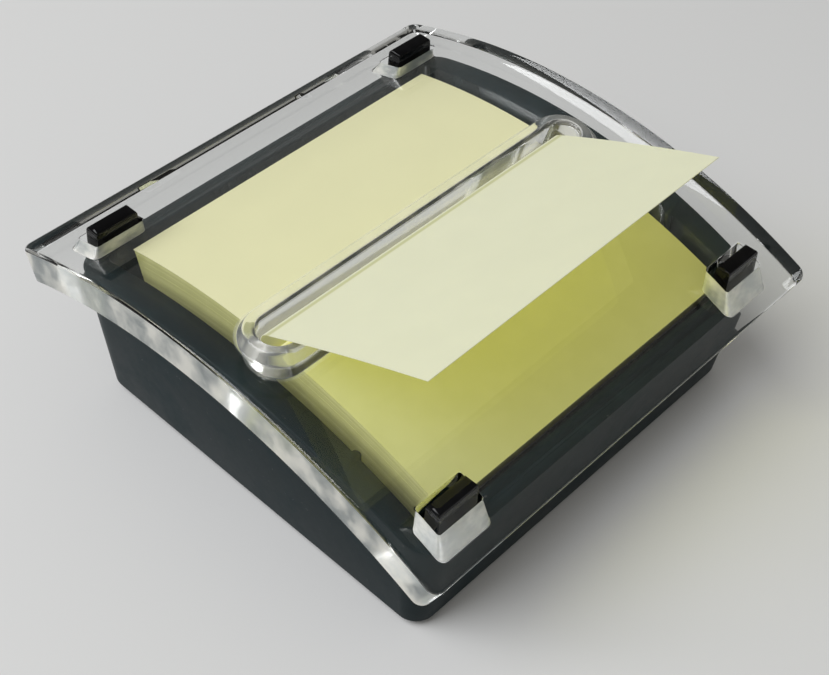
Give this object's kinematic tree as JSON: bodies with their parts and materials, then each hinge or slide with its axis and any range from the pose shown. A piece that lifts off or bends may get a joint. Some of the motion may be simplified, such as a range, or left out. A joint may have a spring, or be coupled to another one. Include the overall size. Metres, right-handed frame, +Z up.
{
  "type": "memo note holder",
  "caption": "Desk holder for pop-up memo notes: a weighted black tray under a thick clear arched cover that rides on guide posts and feeds each note up through a raised slot.",
  "frame": {"origin": "on the table, under the middle of the clear cover", "axes": "+X to the user's right, +Y to the back, +Z up"},
  "size_m": [0.1032, 0.103, 0.0584],
  "materials": {
    "shell": "satin, lightly grained",
    "gloss_black": "polished",
    "clear_acrylic": "clear, polished",
    "note_paper": "matte",
    "card": "matte",
    "steel": "as rolled",
    "screw_steel": "zinc plated",
    "foot_rubber": "matte"
  },
  "bodies": {
    "base": {"base_shell": "shell", "bottom_cover": "shell", "ballast_plate_1": "steel", "ballast_plate_2": "steel", "base_screws": "screw_steel", "backing_card": "card", "note_stack": "note_paper", "next_note": "note_paper", "guide_post_front_left": "gloss_black", "rubber_foot_front_left": "foot_rubber", "guide_post_front_right": "gloss_black", "rubber_foot_front_right": "foot_rubber", "guide_post_back_left": "gloss_black", "rubber_foot_back_left": "foot_rubber", "guide_post_back_right": "gloss_black", "rubber_foot_back_right": "foot_rubber"},
    "cover": {"clear_cover": "clear_acrylic"},
    "note": {"standing_note": "note_paper"}
  },
  "joints": [
    {"name": "cover_lift", "type": "slide", "parent": "base", "child": "cover", "axis": [0, 0, 1], "range_m": [0, 0.025]},
    {"name": "note_pull", "type": "slide", "parent": "cover", "child": "note", "axis": [0, 0, 1], "range_m": [0, 0.025]}
  ]
}
